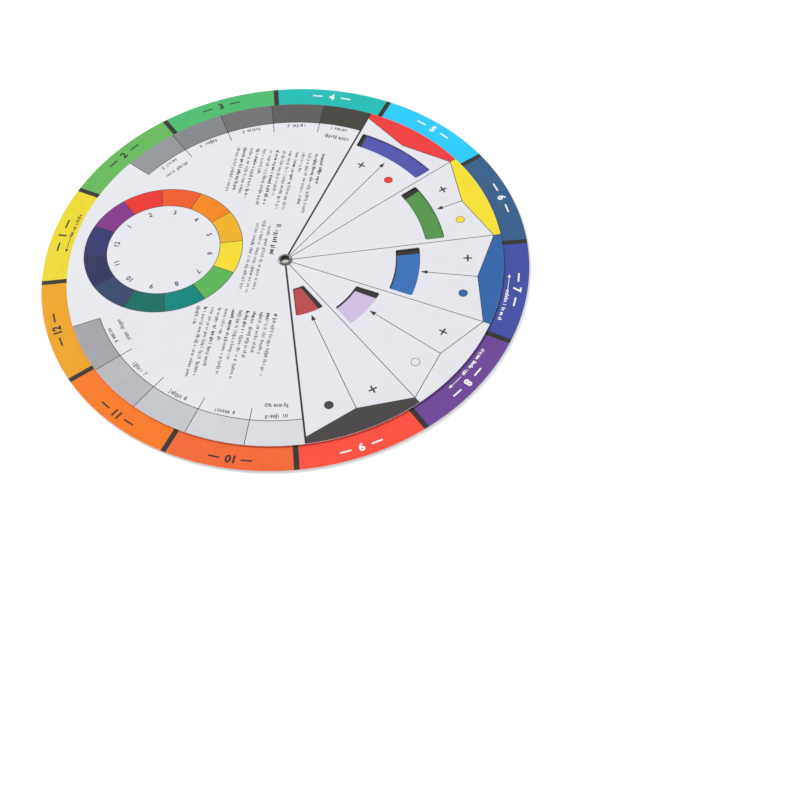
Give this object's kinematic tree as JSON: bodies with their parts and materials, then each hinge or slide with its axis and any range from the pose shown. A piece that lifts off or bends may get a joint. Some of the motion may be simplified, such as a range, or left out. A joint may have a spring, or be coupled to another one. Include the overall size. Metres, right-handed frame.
{
  "type": "colour mixing wheel",
  "caption": "Flat card colour mixing wheel: a printed hue disc held between smaller windowed discs that turn on a hollow metal eyelet and show mixed colours in their windows.",
  "frame": {"origin": "on the pivot axis, at the height of the surface that the wheel lies on (the lowest point of the eyelet's back curl)", "axes": "+Z along the pivot axis out of the front face; seen from the front with +Y up, the front disc's fan of windows is centred 6 degrees clockwise of +X"},
  "size_m": [0.235, 0.235, 0.0034],
  "materials": {
    "printed_card": "satin",
    "white_card": "satin",
    "dark_nickel": "polished"
  },
  "bodies": {
    "base": {"base_disc": "printed_card", "eyelet": "dark_nickel"},
    "front_dial": {"front_disc": "white_card"},
    "back_dial": {"back_disc": "white_card"}
  },
  "joints": [
    {"name": "front_dial_turn", "type": "hinge", "parent": "base", "child": "front_dial", "pos_m": [0, 0, 0.0024], "axis": [0, 0, 1], "continuous": true},
    {"name": "back_dial_turn", "type": "hinge", "parent": "base", "child": "back_dial", "pos_m": [0, 0, 0.001], "axis": [0, 0, 1], "continuous": true}
  ]
}
